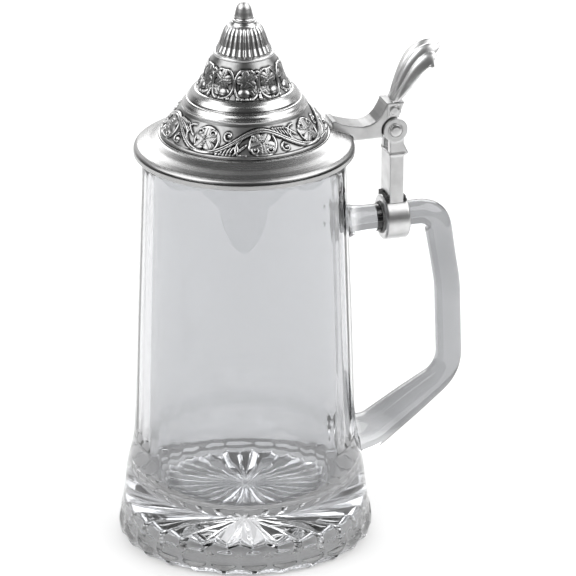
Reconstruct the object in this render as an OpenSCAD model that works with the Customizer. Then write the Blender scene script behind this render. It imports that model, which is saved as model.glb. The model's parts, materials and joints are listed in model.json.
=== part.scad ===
// Beer stein: glass mug with a cut star foot, and a pewter lid hinged over the handle.
// Millimetres, +Z up. The origin is the centre of the foot; the handle points along +X.
// The lid turns about the hinge pin, which lies along Y.

/* [Glass] */
// Height of the glass rim
glass_h = 167.4; // [150:0.1:185]
// Outer radius at the rim
rim_r = 42.0; // [38:0.1:46]
// Outer radius where the body meets the thick foot
waist_r = 46.4; // [42:0.1:50]
// Height of that meeting line
waist_z = 47; // [38:1:60]
// Largest radius of the foot
foot_r = 53.3; // [48:0.1:58]
// Radius of the flat ring that the mug stands on
contact_r = 51.6; // [46:0.1:55]
// Wall thickness at the rim
wall = 3.6; // [2:0.1:6]
// Height of the inside floor
floor_z = 19; // [15:0.5:35]
// Radius of the flat disc in the middle of the inside floor
floor_r = 28.2; // [15:0.1:35]
// Radius of the curve that rises from the flat disc to the wall
floor_curve = 13; // [8:0.1:40]
// Number of olive cuts round the foot, and of rays in the star under it
cut_count = 26; // [16:1:36]
// Radius of the ball that makes one olive cut
cut_ball_r = 11; // [8:0.5:20]
// Depth of one olive cut
cut_depth = 0.9; // [0.3:0.1:1.5]
// Height of the olive cuts
cut_z = 7.1; // [6:0.1:12]
// Radius of the recess under the foot
recess_r = 42.5; // [38:0.1:48]
// Height of the recess, up to the star that is cut in its ceiling
recess_top = 9.2; // [6:0.1:14]

/* [Handle] */
// Height of the upper bar's axis
bar_z = 132.4; // [115:0.1:145]
// Radius of the upper bar
bar_r = 5.8; // [4:0.1:7]
// Distance of the upper corner, where the bar's axis meets the grip's axis
corner_x = 83.5; // [70:0.1:95]
// Distance of the lower corner
elbow_x = 90.2; // [75:0.1:100]
// Height of the lower corner
elbow_z = 60.4; // [45:0.1:80]
// Radius of the lower limb where it joins the body
root_r = 8.0; // [6:0.1:10]

/* [Hinge] */
// Distance of the hinge pin from the mug's axis
pin_x = 63.4; // [58:0.1:70]
// Height of the hinge pin
pin_z = 172.4; // [165:0.1:180]
// Radius of the pin
pin_r = 2.0; // [1:0.1:3]
// Radius of the round ears of the fork
ear_r = 5.2; // [4:0.1:7]
// Width of the post along the pin
post_w = 12.2; // [9:0.1:16]
// Width of the fork's slot
slot_w = 5.6; // [4:0.1:8]
// Outer radius of the collar on the handle
collar_r = 9.6; // [8:0.1:11]
// Length of the collar along the handle
collar_len = 10.4; // [7:0.1:14]

/* [Lid] */
// Largest radius of the brim
brim_r = 45.6; // [43:0.1:49]
// Height of the seat over the glass rim
seat_z = 167.8; // [160:0.1:180]
// Outer radius of the lower band of relief
band_r = 34.2; // [30:0.1:38]
// Height of the knob's tip
tip_z = 233; // [215:1:250]
// Number of flutes on the dome
flute_count = 24; // [16:1:32]
// Number of rosettes round the lower band
low_count = 8; // [6:1:12]
// Number of medallions round the upper band
high_count = 10; // [6:1:12]
// Thickness of the lid's shell
shell_t = 2.0; // [1.2:0.1:3]

/* [Thumblift] */
// Length of the lift along its ridge
lift_len = 37; // [28:0.5:40]
// Half width at the tip
lift_w = 9.9; // [6:0.1:11]
// Number of lobes
lobes = 5; // [3:2:9]

/* [View] */
// Sub-part to draw

/* [Hidden] */
$fn = 96;
pewter = [0.66, 0.66, 0.67];
pewter_dark = [0.45, 0.45, 0.46];
steel = [0.74, 0.74, 0.75];
bedding_colour = [0.2, 0.2, 0.2];
glass_colour = [0.86, 0.9, 0.9, 0.35];
shadow_gap = 0.45;
tongue_w = slot_w - 0.8;
post_x0 = pin_x - 2.3;
post_x1 = pin_x + 3.7;
slot_floor = pin_z - 10.3;
cut_turn = -5.6;
recess_h = 5;
recess_curve = recess_top - recess_h;
boss_w = post_w + 0.6;
collar_x = pin_x + 0.9;
bed_r = bar_r + 0.8;
solder_w = 1.3;
pin_play = 0.05;
strap_w = 10.4;
strap_low = 169.4;
low_turn = -138;
high_turn = -103;
lift_z = 184.2;
lift_x = pin_x - 0.6;
lift_t = 2.2;
lift_rows = 22;
lobe_steps = 6;
lift_cols = lobes * lobe_steps;
grip_tilt = atan2(elbow_x - corner_x, bar_z - elbow_z);
limb_x = 45.2;
limb_z = 29.8;
limb_tilt = atan2(elbow_z - limb_z, elbow_x - limb_x);
upper_bend = 7;
lower_bend = 12;

// ---------------------------------------------------------------- helpers

// A point at radius r and angle a from a centre.
function on_arc(c, r, a) = [c[0] + r * cos(a), c[1] + r * sin(a)];

// An arc as a list of points.
function arc(c, r, a0, a1, n) = [for (i = [0:n]) on_arc(c, r, a0 + (a1 - a0) * i / n)];

// A round rod whose axis starts at x, z and leans in the XZ plane. Each station is a radius
// and a distance along the axis.
module limb(x, z, tilt, stations) {
    far = stations[len(stations) - 1][1];
    translate([x, 0, z])
        rotate([0, tilt, 0])
            rotate_extrude()
                polygon(concat([[0, stations[0][1]]], stations, [[0, far]]));
}

// A quarter-like bend in the XZ plane, from angle a0 through the turn.
module bend(cx, cz, bend_r, rod_r, a0, turn) {
    translate([cx, 0, cz])
        rotate([90, 0, 0])
            rotate([0, 0, a0])
                rotate_extrude(angle = turn)
                    translate([bend_r, 0])
                        circle(r = rod_r, $fn = 48);
}

// A prism with an XZ outline, centred on Y.
module side_prism(outline, width) {
    translate([0, width / 2, 0])
        rotate([90, 0, 0])
            linear_extrude(width)
                polygon(outline);
}

// A cylinder along Y about the hinge pin.
module about_pin(r, width) {
    translate([pin_x, width / 2, pin_z])
        rotate([90, 0, 0])
            cylinder(h = width, r = r);
}

// ---------------------------------------------------------------- glass

// The outside of the glass as a solid of revolution.
module glass_blank() {
    rotate_extrude()
        polygon([[0, 0], [contact_r, 0], [foot_r - 0.3, 1.6], [foot_r, 3.4], [foot_r - 0.4, 7.5],
                 [foot_r - 1.9, 14.5], [foot_r - 2.7, 21], [foot_r - 3.4, 27], [foot_r - 4.4, 32.5],
                 [waist_r + 1.2, waist_z - 9], [waist_r + 0.3, waist_z - 4], [waist_r, waist_z],
                 [waist_r - 0.6, waist_z + 12], [rim_r, glass_h - 1], [rim_r - 1, glass_h], [0, glass_h]]);
}

module glass_body() {
    curve_x = waist_r - 5.2 - floor_curve;
    rise = acos((floor_r - curve_x) / floor_curve);
    color(glass_colour)
        difference() {
            glass_blank();
            // inside of the mug
            rotate_extrude()
                polygon(concat([[0, floor_z]],
                               arc([curve_x, floor_z + floor_curve * sin(rise)], floor_curve, -rise, 0, 12),
                               [[rim_r - wall, glass_h - 1], [rim_r - wall + 0.6, glass_h + 1],
                                [0, glass_h + 1]]));
            // recess under the foot, upright at first so that a stand's raised disc can sit in it
            rotate_extrude()
                polygon(concat([[0, -1], [recess_r, -1]],
                               arc([recess_r - recess_curve, recess_h], recess_curve, 0, 90, 8),
                               [[0, recess_top]]));
            // star in the recess's ceiling, each ray a hollow that widens outwards
            for (i = [0:cut_count - 1])
                rotate([0, 0, 360 * (i + 0.5) / cut_count + cut_turn])
                    translate([3, 0, recess_top - 0.4])
                        rotate([0, 90, 0])
                            cylinder(h = recess_r - 5.5, r1 = 0.3, r2 = 2.8, $fn = 32);
            // olive cuts round the foot
            for (i = [0:cut_count - 1])
                rotate([0, 0, 360 * i / cut_count + cut_turn])
                    translate([foot_r - 0.6 - cut_depth + cut_ball_r, 0, cut_z])
                        sphere(r = cut_ball_r);
        }
}

module glass_handle() {
    turn_up = 90 - grip_tilt;
    turn_low = 90 - limb_tilt + grip_tilt;
    reach_up = upper_bend * tan(turn_up / 2);
    reach_low = lower_bend * tan(turn_low / 2);
    grip_len = norm([elbow_x - corner_x, bar_z - elbow_z]);
    limb_len = norm([elbow_x - limb_x, elbow_z - limb_z]);
    grip_dir = [sin(grip_tilt), -cos(grip_tilt)];
    grip_r = bar_r - 0.4;
    // the limbs run a little way into the bends, which are a hair thicker
    lap = 1;
    swell = 0.15;
    color(glass_colour)
        difference() {
            union() {
                limb(0, bar_z, 90, [[bar_r + 3, rim_r - 3], [bar_r + 1.2, rim_r + 2.5], [bar_r, rim_r + 6],
                                    [bar_r, corner_x - reach_up + lap]]);
                limb(corner_x, bar_z, 180 - grip_tilt,
                     [[bar_r, reach_up - lap], [grip_r, grip_len - reach_low + lap]]);
                limb(elbow_x, elbow_z, 270 - limb_tilt,
                     [[grip_r, reach_low - lap], [grip_r + 1.1, reach_low + 14], [root_r, limb_len]]);
                bend(corner_x - reach_up, bar_z - upper_bend, upper_bend, bar_r + swell, 90, -turn_up);
                bend(elbow_x - grip_dir[0] * reach_low - lower_bend * cos(grip_tilt),
                     elbow_z - grip_dir[1] * reach_low - lower_bend * sin(grip_tilt),
                     lower_bend, grip_r + swell, grip_tilt, -turn_low);
            }
            glass_blank();
        }
}

// ---------------------------------------------------------------- hinge mount

module handle_collar() {
    color(pewter)
        translate([collar_x - collar_len / 2, 0, bar_z])
            rotate([0, 90, 0])
                difference() {
                    union() {
                        cylinder(h = 0.7, r1 = collar_r - 0.7, r2 = collar_r);
                        translate([0, 0, 0.7])
                            cylinder(h = collar_len - 1.4, r = collar_r);
                        translate([0, 0, collar_len - 0.7])
                            cylinder(h = 0.7, r1 = collar_r, r2 = collar_r - 0.7);
                    }
                    translate([0, 0, -1])
                        cylinder(h = collar_len + 2, r = bed_r);
                }
}

module collar_bedding() {
    bed_len = collar_len + 1.2;
    color(bedding_colour)
        translate([collar_x - bed_len / 2, 0, bar_z])
            rotate([0, 90, 0])
                difference() {
                    cylinder(h = bed_len, r = bed_r);
                    translate([0, 0, -1])
                        cylinder(h = bed_len + 2, r = bar_r);
                }
}

module hinge_post() {
    ledge_z = pin_z - 10.8;
    color(pewter)
        difference() {
            union() {
                side_prism([[post_x0, bar_z], [post_x1, bar_z], [post_x1, pin_z], [post_x0, pin_z]], post_w);
                about_pin(ear_r, boss_w);
                // ledge under the ears, and the spur behind them
                side_prism([[post_x0 - 0.3, ledge_z - 0.5], [post_x1 + 0.3, ledge_z - 0.5],
                            [post_x1 + 0.3, ledge_z + 0.5], [post_x0 - 0.3, ledge_z + 0.5]], post_w + 0.5);
                side_prism([[post_x1 - 1, ledge_z + 5.9], [post_x1, ledge_z + 4.6],
                            [post_x1 + 1.9, ledge_z + 0.6],
                            [post_x1 + 1.9, ledge_z - 0.2], [post_x1 - 1, ledge_z - 1.2]], post_w);
            }
            // slot for the lid's tongue
            translate([pin_x - 10, -slot_w / 2, slot_floor])
                cube([20, slot_w, 30]);
            about_pin(pin_r, boss_w + 2);
            // saddle
            translate([pin_x - 20, 0, bar_z])
                rotate([0, 90, 0])
                    cylinder(h = 40, r = collar_r);
        }
}

// Bead of solder between the collar and one side of the post, x0 to x1.
module solder_bead(x0, x1) {
    color(bedding_colour)
        difference() {
            translate([x0, -post_w / 2 + 0.8, bar_z])
                cube([x1 - x0, post_w - 1.6, collar_r + 0.9]);
            translate([pin_x - 20, 0, bar_z])
                rotate([0, 90, 0])
                    cylinder(h = 40, r = collar_r);
        }
}

module solder_lid_side() {
    solder_bead(post_x0 - solder_w, post_x0);
}

module solder_grip_side() {
    solder_bead(post_x1, post_x1 + solder_w);
}

module hinge_pin() {
    color(steel)
        about_pin(pin_r, boss_w);
}

// One peened head, on the side given by the sign of dir.
module pin_cap(dir) {
    color(steel)
        translate([pin_x, dir * boss_w / 2, pin_z])
            rotate([-90 * dir, 0, 0])
                union() {
                    cylinder(h = 0.4, r = pin_r + 0.9);
                    translate([0, 0, 0.4])
                        cylinder(h = 0.4, r1 = pin_r + 0.9, r2 = pin_r + 0.3);
                }
}

module pin_cap_front() {
    pin_cap(-1);
}

module pin_cap_rear() {
    pin_cap(1);
}

// ---------------------------------------------------------------- lid

// The outlines below are half sections, radius then height.
brim_edge_z = 170.1;
band_z0 = 176.6;
band_z1 = 189.0;
cornice_r0 = 25.6;
cornice_r1 = 20.9;
cornice_z1 = 194.5;
cap_r = 12.1;
cap_z0 = 210.8;
cap_z1 = 224.8;
knob_z0 = 226.2;
knob_r = 4.0;

module brim_section() {
    polygon([[rim_r - wall - 0.6, seat_z - 2.2], [rim_r - wall - 0.6, seat_z], [brim_r - 1.6, seat_z],
             [brim_r - 1.6, 171.9], [brim_r - 2.6, 172.6], [band_r + 1.2, band_z0 - 0.7],
             [band_r + 1.2, band_z0], [band_r - 2, band_z0], [band_r - 2, 172.4],
             [rim_r - wall - 2.2, seat_z - 0.6], [rim_r - wall - 2.2, seat_z - 2.2]]);
}

module lid_brim() {
    color(pewter)
        rotate_extrude()
            brim_section();
}

module brim_bead() {
    color(pewter)
        difference() {
            rotate_extrude()
                translate([brim_r - 1.9, brim_edge_z])
                    circle(r = 1.9, $fn = 48);
            rotate_extrude()
                translate([0, seat_z - 3])
                    square([brim_r - 1.6, 12]);
        }
}

module lower_frieze() {
    color(pewter_dark)
        union() {
            rotate_extrude()
                polygon([[band_r - shell_t, band_z0], [band_r, band_z0], [band_r + 0.3, band_z0 + 0.8],
                         [band_r, band_z0 + 1.6], [band_r - 1, band_z0 + 1.8], [29.9, 182.6],
                         [cornice_r0 + 0.4, band_z1 - 1.5], [cornice_r0 + 0.3, band_z1 - 0.4],
                         [cornice_r0, band_z1], [cornice_r0 - shell_t, band_z1], [28.2, 181.8]]);
            // rosettes of the relief, each a berry with five round petals
            for (i = [0:low_count - 1])
                rotate([0, 0, 360 * i / low_count + low_turn])
                    translate([29.8, 0, 182.7])
                        rotate([0, 46, 0])
                            union() {
                                sphere(r = 1.2, $fn = 24);
                                for (j = [0:4])
                                    rotate([0, 0, 72 * j])
                                        translate([2.3, 0, -0.2])
                                            sphere(r = 1.1, $fn = 24);
                            }
        }
}

module lid_cornice() {
    color(pewter)
        rotate_extrude()
            polygon([[cornice_r0 - shell_t, band_z1], [cornice_r0 - 0.1, band_z1], [cornice_r0 - 0.3, 190.2],
                     [cornice_r0 - 1.1, 191.4], [cornice_r0 - 2.2, 192.6], [cornice_r0 - 3.4, 193.5],
                     [cornice_r1 + 0.4, 193.9], [cornice_r1, cornice_z1],
                     [cornice_r1 - shell_t, cornice_z1]]);
}

module upper_frieze() {
    color(pewter_dark)
        union() {
            rotate_extrude()
                polygon([[cornice_r1 - shell_t, cornice_z1], [cornice_r1, cornice_z1], [19.6, 196.2],
                         [17.6, 198.4], [16.4, 200.6], [15.2, 204.4], [14.1, 207.8], [cap_r, cap_z0],
                         [cap_r - shell_t, cap_z0], [12.4, 207], [13.6, 203.6], [14.8, 199.6],
                         [16.4, 196.6]]);
            // scrolled medallions, each a ring round a berry
            for (i = [0:high_count - 1])
                rotate([0, 0, 360 * i / high_count + high_turn])
                    translate([15.6, 0, 203])
                        rotate([0, 72, 0])
                            union() {
                                sphere(r = 1.2, $fn = 24);
                                rotate_extrude()
                                    translate([3.4, 0])
                                        circle(r = 0.8, $fn = 24);
                            }
        }
}

module fluted_cap() {
    rib_r0 = 1.25;
    rib_r1 = 0.75;
    color(pewter)
        union() {
            rotate_extrude()
                polygon([[cap_r - shell_t, cap_z0], [cap_r, cap_z0], [cap_r + 0.3, cap_z0 + 0.8],
                         [cap_r, cap_z0 + 1.6], [cap_r - 1.4, cap_z0 + 2], [9.8, 215.4], [8.9, 218.2],
                         [7.9, 220.8], [6.4, 223.2], [5.2, cap_z1], [2, cap_z1], [2, 222.6],
                         [6.2, 219.6], [8.2, 214]]);
            for (i = [0:flute_count - 1])
                rotate([0, 0, 360 * i / flute_count])
                    translate([cap_r - 2.2, 0, cap_z0 + 2])
                        rotate([0, -17, 0])
                            cylinder(h = 8.6, r1 = rib_r0, r2 = rib_r1, $fn = 16);
        }
}

module finial_collar() {
    color(pewter)
        rotate_extrude()
            polygon([[2, cap_z1], [4.7, cap_z1], [5.1, cap_z1 + 0.4], [4.9, cap_z1 + 0.9],
                     [4.3, knob_z0], [2, knob_z0]]);
}

module finial_knob() {
    nose_z = knob_z0 + 1.4;
    color(pewter)
        rotate_extrude()
            polygon(concat([[2, knob_z0], [knob_r, knob_z0], [knob_r, nose_z]],
                           [for (i = [1:8])
                               [knob_r * (1 - pow(i / 9, 2.2)), nose_z + i * (tip_z - nose_z) / 9]],
                           [[0, tip_z], [0, knob_z0 + 4], [2, knob_z0 + 4]]));
}

module finial_stud() {
    stud_len = knob_z0 + 4 - 220.6;
    color(steel)
        union() {
            translate([0, 0, 220.6])
                cylinder(h = stud_len, r = 2);
            translate([0, 0, 220.0])
                cylinder(h = 0.8, r = 3);
        }
}

module lid_shank() {
    color(pewter)
        difference() {
            union() {
                difference() {
                    side_prism([[36.4, 175], [36.4, 178.6], [38.2, 178.6], [39.6, 177.6], [42.5, 176.7],
                                [46, 175.7], [50, 175.1], [53, 175.6], [55.2, 176.8], [57.1, 178.7],
                                [58.6, 181.2], [59.5, 183], [59.9, lift_z], [67.5, lift_z], [66.3, 181],
                                [65.3, 177.9], [pin_x + 1.5, pin_z], [pin_x, strap_low],
                                [44.5, strap_low], [44.5, 170]], strap_w);
                    about_pin(ear_r + shadow_gap, 30);
                }
                about_pin(ear_r - 0.6, tongue_w);
                side_prism([[56.5, strap_low], [pin_x, strap_low], [pin_x, pin_z + 4],
                            [pin_x, 178], [60, 179]],
                           tongue_w);
            }
            about_pin(pin_r + pin_play, 30);
            // seat on the brim
            rotate_extrude()
                brim_section();
            rotate_extrude()
                translate([brim_r - 1.9, brim_edge_z])
                    circle(r = 1.9, $fn = 48);
            translate([0, 0, 160])
                cylinder(h = 12, r = brim_r - 1.6);
            rotate_extrude()
                polygon([[0, 170], [brim_r - 2.6, 170], [brim_r - 2.6, 172.6],
                         [band_r + 1.2, band_z0 - 0.7], [0, 176]]);
        }
}

// Heading of the ridge at fraction u of its length: upright at the root, curling over at the tip.
function heading(u) = 72 + 18 * pow(1 - u, 12) - 117.5 * pow(u, 3.2);

// A point of the ridge, by summing short steps.
function ridge(k, step) = k == 0 ? [lift_x, lift_z]
    : ridge(k - 1, step) + step * [cos(heading((k - 0.5) / lift_rows)), sin(heading((k - 0.5) / lift_rows))];

// Half width and arch of the shell at fraction u.
function half_width(u) = strap_w / 2 - 0.1 + (lift_w - strap_w / 2 + 0.1) * sin(90 * min(1, u * 1.15));
function arch_drop(u) = 8.2 * pow(u, 0.53);

// Height of a lobe across the width, v from -1 to 1.
function lobe(v) = abs(sin(90 * lobes * (v + 1)));

// A point of the shell: row k along the ridge, column j across, sunk below the face by the given depth.
function shell_point(k, j, sink) =
    let(v = 2 * j / lift_cols - 1,
        u = k / lift_rows,
        step = lift_len * (1 + 0.02 * lobe(v) * u) / lift_rows,
        p = ridge(k, step),
        a = heading(u),
        drop = arch_drop(u) * v * v - (0.9 * lobe(v) - 0.9) * min(1, 4 * u) * (sink > 0 ? 0 : 1) + sink)
    [p[0] + drop * sin(a), half_width(u) * v, p[1] - drop * cos(a)];

module thumblift() {
    across = lift_cols + 1;
    side = across * (lift_rows + 1);
    points = [for (s = [0:1]) for (k = [0:lift_rows]) for (j = [0:lift_cols]) shell_point(k, j, s * lift_t)];
    function at(s, k, j) = s * side + k * across + j;
    top = [for (k = [0:lift_rows - 1]) for (j = [0:lift_cols - 1])
           [at(0, k, j), at(0, k, j + 1), at(0, k + 1, j + 1), at(0, k + 1, j)]];
    under = [for (k = [0:lift_rows - 1]) for (j = [0:lift_cols - 1])
             [at(1, k, j), at(1, k + 1, j), at(1, k + 1, j + 1), at(1, k, j + 1)]];
    flanks = [for (k = [0:lift_rows - 1]) for (j = [0, lift_cols])
              j == 0 ? [at(0, k, j), at(0, k + 1, j), at(1, k + 1, j), at(1, k, j)]
                     : [at(0, k, j), at(1, k, j), at(1, k + 1, j), at(0, k + 1, j)]];
    ends = [for (j = [0:lift_cols - 1]) for (k = [0, lift_rows])
            k == 0 ? [at(0, k, j), at(1, k, j), at(1, k, j + 1), at(0, k, j + 1)]
                   : [at(0, k, j), at(0, k, j + 1), at(1, k, j + 1), at(1, k, j)]];
    color(pewter)
        polyhedron(points, concat(top, under, flanks, ends), convexity = 10);
}

glass_body();
glass_handle();
handle_collar();
collar_bedding();
hinge_post();
solder_lid_side();
solder_grip_side();
hinge_pin();
pin_cap_front();
pin_cap_rear();
lid_brim();
brim_bead();
lower_frieze();
lid_cornice();
upper_frieze();
fluted_cap();
finial_collar();
finial_knob();
finial_stud();
lid_shank();
thumblift();
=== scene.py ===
# Beer stein: a glass mug with a star-cut foot and a pewter lid hinged over the handle.
# Lengths below are in millimetres unless a name ends in _m; the frame is in metres.
import json
import math

import bmesh
import bpy
import numpy as np
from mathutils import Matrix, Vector


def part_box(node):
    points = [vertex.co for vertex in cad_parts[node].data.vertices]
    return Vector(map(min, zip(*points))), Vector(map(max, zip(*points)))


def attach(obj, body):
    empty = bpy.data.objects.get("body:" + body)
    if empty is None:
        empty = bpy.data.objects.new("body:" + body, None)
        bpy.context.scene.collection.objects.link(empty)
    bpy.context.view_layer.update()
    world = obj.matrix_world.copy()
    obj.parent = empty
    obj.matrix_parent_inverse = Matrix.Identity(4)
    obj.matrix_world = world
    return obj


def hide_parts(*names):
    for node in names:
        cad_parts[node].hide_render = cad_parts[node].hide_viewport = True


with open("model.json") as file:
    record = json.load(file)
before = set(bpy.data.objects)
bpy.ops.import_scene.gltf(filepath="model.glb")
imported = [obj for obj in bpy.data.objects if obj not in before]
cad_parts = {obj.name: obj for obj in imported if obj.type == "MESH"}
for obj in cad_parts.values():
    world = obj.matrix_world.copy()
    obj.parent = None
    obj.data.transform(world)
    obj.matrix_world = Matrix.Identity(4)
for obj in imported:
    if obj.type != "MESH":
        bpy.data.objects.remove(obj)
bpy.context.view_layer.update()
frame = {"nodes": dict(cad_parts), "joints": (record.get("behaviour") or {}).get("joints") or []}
MM = 0.001
TAU = 2 * math.pi
WELD_M = 1e-6


# ------------------------------------------------------------------ sizes read from the frame

def box_mm(node):
    """Lowest and highest corner of a CAD node, in millimetres."""
    low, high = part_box(node)
    return np.array(low) / MM, np.array(high) / MM


pin = np.array(frame["joints"][0]["pos_m"]) / MM


# ------------------------------------------------------------------ mesh helpers

def finish_mesh(name, mesh, body, nodes, material):
    """Link a mesh as a piece: its body, the CAD nodes it stands for and its material."""
    obj = bpy.data.objects.new(name, mesh)
    bpy.context.scene.collection.objects.link(obj)
    mesh.polygons.foreach_set("use_smooth", [True] * len(mesh.polygons))
    mesh.materials.clear()
    mesh.materials.append(material)
    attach(obj, body)
    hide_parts(*nodes)
    return obj


def grid_mesh(name, points, close_rows=False, values=None):
    """A mesh from a grid of points in millimetres, joined round, and end to end where asked.

    The values are kept on its points as the attribute that the relief materials read."""
    rows, cols = points.shape[:2]
    index = np.arange(rows * cols).reshape(rows, cols)
    if close_rows:
        index = np.vstack([index, index[:1]])
    index = np.hstack([index, index[:, :1]])
    quads = np.stack([index[:-1, :-1], index[:-1, 1:], index[1:, 1:], index[1:, :-1]], -1).reshape(-1, 4)
    mesh = bpy.data.meshes.new(name)
    mesh.from_pydata((points.reshape(-1, 3) * MM).tolist(), [], quads.tolist())
    if values is not None:
        layer = mesh.attributes.new("relief", "FLOAT", "POINT")
        layer.data.foreach_set("value", values.reshape(-1).astype(np.float32))
    mesh.update()
    return mesh


def weld(mesh):
    """Merge points that meet, and turn every face outwards."""
    bm = bmesh.new()
    bm.from_mesh(mesh)
    bmesh.ops.remove_doubles(bm, verts=bm.verts, dist=WELD_M)
    bmesh.ops.recalc_face_normals(bm, faces=bm.faces)
    bm.to_mesh(mesh)
    bm.free()
    mesh.update()
    return mesh


def fillet(points, closed=True, steps=5):
    """Round the corners of an outline. Each point is r, z and the radius of its corner."""
    out = []
    count = len(points)
    for i, (r, z, radius) in enumerate(points):
        here = np.array([r, z], float)
        ends = not closed and i in (0, count - 1)
        if radius <= 0 or ends:
            out.append(here)
            continue
        before = np.array(points[i - 1][:2], float) - here
        after = np.array(points[(i + 1) % count][:2], float) - here
        len_a, len_b = np.linalg.norm(before), np.linalg.norm(after)
        before, after = before / len_a, after / len_b
        angle = math.acos(np.clip(before @ after, -1, 1))
        reach = min(radius / math.tan(angle / 2), 0.48 * len_a, 0.48 * len_b)
        for k in range(steps + 1):
            t = k / steps
            out.append((1 - t) ** 2 * (here + before * reach) + 2 * t * (1 - t) * here
                       + t * t * (here + after * reach))
    return np.array(out)


def refine(outline, step, closed=True):
    """Add points along an outline so that no stretch is longer than the step."""
    out = []
    count = len(outline)
    for i in range(count if closed else count - 1):
        a, b = outline[i], outline[(i + 1) % count]
        pieces = max(1, int(math.ceil(np.linalg.norm(b - a) / step)))
        for k in range(pieces):
            out.append(a + (b - a) * k / pieces)
    if not closed:
        out.append(outline[-1])
    return np.array(out)


def spline(points, per_span=8):
    """A smooth curve through the points (Catmull-Rom)."""
    p = np.array(points, float)
    p = np.vstack([2 * p[0] - p[1], p, 2 * p[-1] - p[-2]])
    out = []
    for i in range(1, len(p) - 2):
        for k in range(per_span):
            t = k / per_span
            out.append(0.5 * (2 * p[i] + (p[i + 1] - p[i - 1]) * t
                              + (2 * p[i - 1] - 5 * p[i] + 4 * p[i + 1] - p[i + 2]) * t * t
                              + (3 * p[i] - p[i - 1] - 3 * p[i + 1] + p[i + 2]) * t ** 3))
    out.append(p[-2])
    return np.array(out)


def revolve(outline, cols, lift=None):
    """Points of an outline (r, z) turned about Z; lift moves them along the outline's normal."""
    outline = np.array(outline, float)
    turn = np.arange(cols) / cols * TAU
    r = np.repeat(outline[:, :1], cols, 1)
    z = np.repeat(outline[:, 1:], cols, 1)
    if lift is not None:
        along = np.roll(outline, -1, 0) - np.roll(outline, 1, 0)
        along /= np.maximum(np.linalg.norm(along, axis=1, keepdims=True), 1e-9)
        r = r + along[:, 1:] * lift
        z = z - along[:, :1] * lift
    return np.stack([r * np.cos(turn), r * np.sin(turn), z], -1)


def lathe(name, outline, node, material, cols, step):
    """A turned pewter piece of the lid, from a closed outline of r, z and corner radius."""
    loop = refine(fillet(outline), step)
    mesh = weld(grid_mesh(name, revolve(loop, cols), close_rows=True))
    return finish_mesh(name, mesh, "lid", (node,), material)


# ------------------------------------------------------------------ materials

class Shader:
    """A material's node tree, built with short calls."""

    def __init__(self, name):
        self.material = bpy.data.materials.new(name)
        self.material.use_nodes = True
        self.tree = self.material.node_tree
        self.surface = self.tree.nodes["Principled BSDF"]

    def add(self, kind, **settings):
        node = self.tree.nodes.new("ShaderNode" + kind)
        for key, value in settings.items():
            setattr(node, key, value)
        return node

    def link(self, source, target):
        self.tree.links.new(source, target)

    def set(self, **values):
        """Fixed values for the surface; an underscore stands for a space."""
        for key, value in values.items():
            self.surface.inputs[key.replace("_", " ")].default_value = value

    def math(self, operation, a, b=None):
        node = self.add("Math", operation=operation)
        for socket, value in zip(node.inputs, (a, b)):
            if value is None:
                continue
            if isinstance(value, (int, float)):
                socket.default_value = value
            else:
                self.link(value, socket)
        return node.outputs[0]

    def noise(self, scale, detail=3, rough=0.5, vector=None):
        node = self.add("TexNoise")
        node.inputs["Scale"].default_value = scale
        node.inputs["Detail"].default_value = detail
        node.inputs["Roughness"].default_value = rough
        if vector is None:
            vector = self.object_coordinates()
        self.link(vector, node.inputs["Vector"])
        return node.outputs["Fac"]

    def object_coordinates(self):
        return self.add("TexCoord").outputs["Object"]

    def ramp(self, value, stops):
        """A colour from a value, by way of stops of a place and a colour."""
        node = self.add("ValToRGB")
        elements = node.color_ramp.elements
        while len(elements) < len(stops):
            elements.new(0.5)
        for element, (place, colour) in zip(elements, stops):
            element.position = place
            element.color = (*colour, 1)
        self.link(value, node.inputs["Fac"])
        return node.outputs["Color"]

    def span(self, value, low, high, source=(0.0, 1.0)):
        """A value moved from the source's range to low and high."""
        node = self.add("MapRange")
        node.inputs["From Min"].default_value = source[0]
        node.inputs["From Max"].default_value = source[1]
        node.inputs["To Min"].default_value = low
        node.inputs["To Max"].default_value = high
        self.link(value, node.inputs["Value"])
        return node.outputs["Result"]

    def bump(self, height, strength, distance_m):
        node = self.add("Bump")
        node.inputs["Strength"].default_value = strength
        node.inputs["Distance"].default_value = distance_m
        self.link(height, node.inputs["Height"])
        return node.outputs["Normal"]

    def xyz(self):
        """The object coordinates x, y and z."""
        parts = self.add("SeparateXYZ")
        self.link(self.object_coordinates(), parts.inputs[0])
        return parts.outputs

    def radius(self, x, y):
        """Distance from the axis."""
        return self.math("SQRT", self.math("ADD", self.math("MULTIPLY", x, x), self.math("MULTIPLY", y, y)))

    def round_coordinates(self, across, round_):
        """Radius and height scaled by across, angle scaled by round_: for marks left by turning."""
        x, y, z = self.xyz()
        radius = self.radius(x, y)
        angle = self.math("ARCTAN2", y, x)
        joined = self.add("CombineXYZ")
        self.link(self.math("MULTIPLY", radius, across), joined.inputs[0])
        self.link(self.math("MULTIPLY", z, across), joined.inputs[1])
        self.link(self.math("MULTIPLY", angle, round_), joined.inputs[2])
        return joined.outputs[0]


def grey(v, warm=0.0):
    """A grey, with a touch of warmth where asked."""
    return (v * (1 + warm), v, v * (1 - warm * 0.6))


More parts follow.
